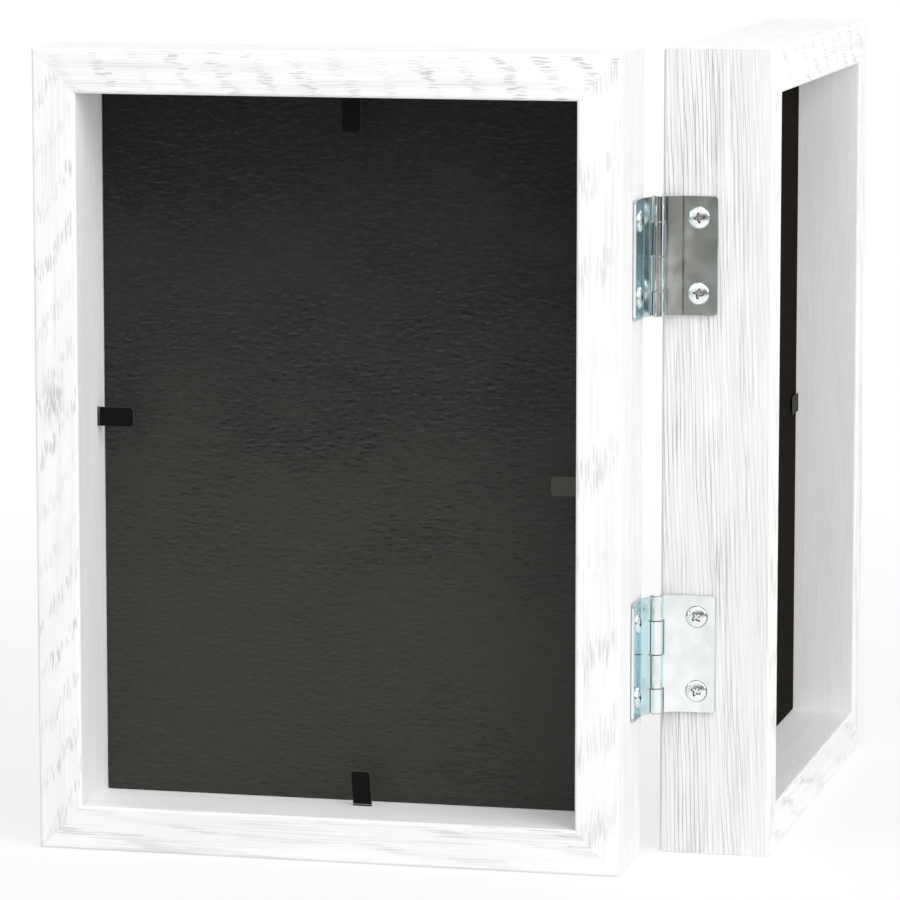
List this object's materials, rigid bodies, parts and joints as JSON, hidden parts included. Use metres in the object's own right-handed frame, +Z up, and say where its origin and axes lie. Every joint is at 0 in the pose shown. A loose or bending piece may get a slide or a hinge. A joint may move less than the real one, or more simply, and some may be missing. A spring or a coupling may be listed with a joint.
{
  "type": "double photo frame",
  "caption": "Two deep whitewashed wooden picture frames for A4 sheets, joined by two cranked steel hinges so that they stand folded like a book.",
  "frame": {"origin": "middle of the object's bounding box in plan, on the surface that the frames stand on", "axes": "+Z up along the hinge axis; at rest the right frame, as seen from the picture side, runs along X with its picture facing -Y, and the left frame runs along Y with its picture facing +X"},
  "size_m": [0.2996, 0.2996, 0.334],
  "materials": {
    "whitewashed_wood": "open-grained oak or ash with a matte white wash and grey pores",
    "clear_glazing": "clear sheet, 2 mm",
    "blank_sheet": "plain off-white paper, left blank",
    "black_board": "black paper-faced board, matte, slightly wrinkled",
    "black_tab": "black coated soft steel strip",
    "zinc_plate": "bright zinc plate with a faint bluish tint",
    "screw_zinc": "bright zinc plate",
    "nail_steel": "plain steel"
  },
  "bodies": {
    "right_frame": {"right_top_rail": "whitewashed_wood", "right_bottom_rail": "whitewashed_wood", "right_outer_stile": "whitewashed_wood", "right_hinge_stile": "whitewashed_wood", "right_glazing": "clear_glazing", "right_insert_sheet": "blank_sheet", "right_backing_board": "black_board", "right_tab_anchor_top": "black_tab", "right_tab_anchor_bottom": "black_tab", "right_tab_anchor_outer": "black_tab", "right_tab_anchor_hinge": "black_tab", "right_v_nail_top_outer": "nail_steel", "right_v_nail_top_hinge": "nail_steel", "right_v_nail_bottom_outer": "nail_steel", "right_v_nail_bottom_hinge": "nail_steel", "upper_hinge_right_leaf": "zinc_plate", "lower_hinge_right_leaf": "zinc_plate", "upper_hinge_pin": "screw_zinc", "lower_hinge_pin": "screw_zinc", "upper_right_screw_top": "screw_zinc", "upper_right_screw_bottom": "screw_zinc", "lower_right_screw_top": "screw_zinc", "lower_right_screw_bottom": "screw_zinc"},
    "left_frame": {"left_top_rail": "whitewashed_wood", "left_bottom_rail": "whitewashed_wood", "left_outer_stile": "whitewashed_wood", "left_hinge_stile": "whitewashed_wood", "left_glazing": "clear_glazing", "left_insert_sheet": "blank_sheet", "left_spacer": "black_board", "left_backing_board": "black_board", "left_tab_anchor_top": "black_tab", "left_tab_anchor_bottom": "black_tab", "left_tab_anchor_outer": "black_tab", "left_tab_anchor_hinge": "black_tab", "left_v_nail_top_outer": "nail_steel", "left_v_nail_top_hinge": "nail_steel", "left_v_nail_bottom_outer": "nail_steel", "left_v_nail_bottom_hinge": "nail_steel", "upper_hinge_left_leaf": "zinc_plate", "lower_hinge_left_leaf": "zinc_plate", "upper_left_screw_top": "screw_zinc", "upper_left_screw_bottom": "screw_zinc", "lower_left_screw_top": "screw_zinc", "lower_left_screw_bottom": "screw_zinc"},
    "right_top_tongue": {"right_tab_top": "black_tab"},
    "right_bottom_tongue": {"right_tab_bottom": "black_tab"},
    "right_outer_tongue": {"right_tab_outer": "black_tab"},
    "right_hinge_tongue": {"right_tab_hinge": "black_tab"},
    "left_top_tongue": {"left_tab_top": "black_tab"},
    "left_bottom_tongue": {"left_tab_bottom": "black_tab"},
    "left_outer_tongue": {"left_tab_outer": "black_tab"},
    "left_hinge_tongue": {"left_tab_hinge": "black_tab"}
  },
  "joints": [
    {"name": "fold", "type": "hinge", "parent": "right_frame", "child": "left_frame", "pos_m": [-0.103, 0.103, 0.167], "axis": [0, 0, 1], "range_deg": [-90, 90]},
    {"name": "right_top_bend", "type": "hinge", "parent": "right_frame", "child": "right_top_tongue", "pos_m": [0.0213, 0.12255, 0.3147], "axis": [1, 0, 0], "range_deg": [0, 85]},
    {"name": "right_bottom_bend", "type": "hinge", "parent": "right_frame", "child": "right_bottom_tongue", "pos_m": [0.0173, 0.12255, 0.0193], "axis": [-1, 0, 0], "range_deg": [-12, 73]},
    {"name": "right_outer_bend", "type": "hinge", "parent": "right_frame", "child": "right_outer_tongue", "pos_m": [0.1305, 0.12255, 0.179], "axis": [0, 0, -1], "range_deg": [0, 85]},
    {"name": "right_hinge_bend", "type": "hinge", "parent": "right_frame", "child": "right_hinge_tongue", "pos_m": [-0.0779, 0.12255, 0.156], "axis": [0, 0, 1], "range_deg": [0, 85]},
    {"name": "left_top_bend", "type": "hinge", "parent": "left_frame", "child": "left_top_tongue", "pos_m": [-0.12255, -0.0223, 0.3147], "axis": [0, 1, 0], "range_deg": [0, 85]},
    {"name": "left_bottom_bend", "type": "hinge", "parent": "left_frame", "child": "left_bottom_tongue", "pos_m": [-0.12255, -0.0323, 0.0193], "axis": [0, -1, 0], "range_deg": [0, 85]},
    {"name": "left_outer_bend", "type": "hinge", "parent": "left_frame", "child": "left_outer_tongue", "pos_m": [-0.12255, -0.1305, 0.161], "axis": [0, 0, 1], "range_deg": [0, 85]},
    {"name": "left_hinge_bend", "type": "hinge", "parent": "left_frame", "child": "left_hinge_tongue", "pos_m": [-0.12255, 0.0779, 0.177], "axis": [0, 0, -1], "range_deg": [0, 85]}
  ]
}
